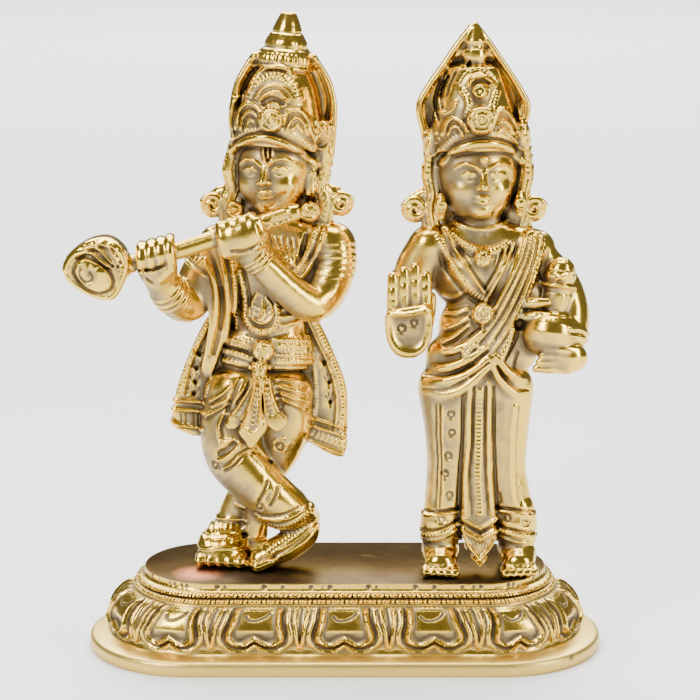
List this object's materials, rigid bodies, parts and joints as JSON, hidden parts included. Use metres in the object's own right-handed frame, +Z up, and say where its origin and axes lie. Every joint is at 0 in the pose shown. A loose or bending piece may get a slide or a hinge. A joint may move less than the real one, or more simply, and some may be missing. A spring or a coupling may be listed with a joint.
{
  "type": "radha krishna statue",
  "caption": "Polished brass pair of standing figures, a flute player and his consort with a water pot, on an oval lotus plinth.",
  "frame": {"origin": "middle of the plinth's flat underside", "axes": "+X to the viewer's right along the plinth, +Y away from the viewer, +Z up"},
  "size_m": [0.16, 0.0634, 0.19],
  "materials": {
    "plinth_brass": "polished, with dark lacquer in the recesses and a satin top",
    "player_brass": "polished, with dark lacquer in the recesses",
    "consort_brass": "polished, with dark lacquer in the recesses"
  },
  "bodies": {
    "root": {"lotus_plinth": "plinth_brass", "flute_player": "player_brass", "consort": "consort_brass"}
  },
  "joints": []
}
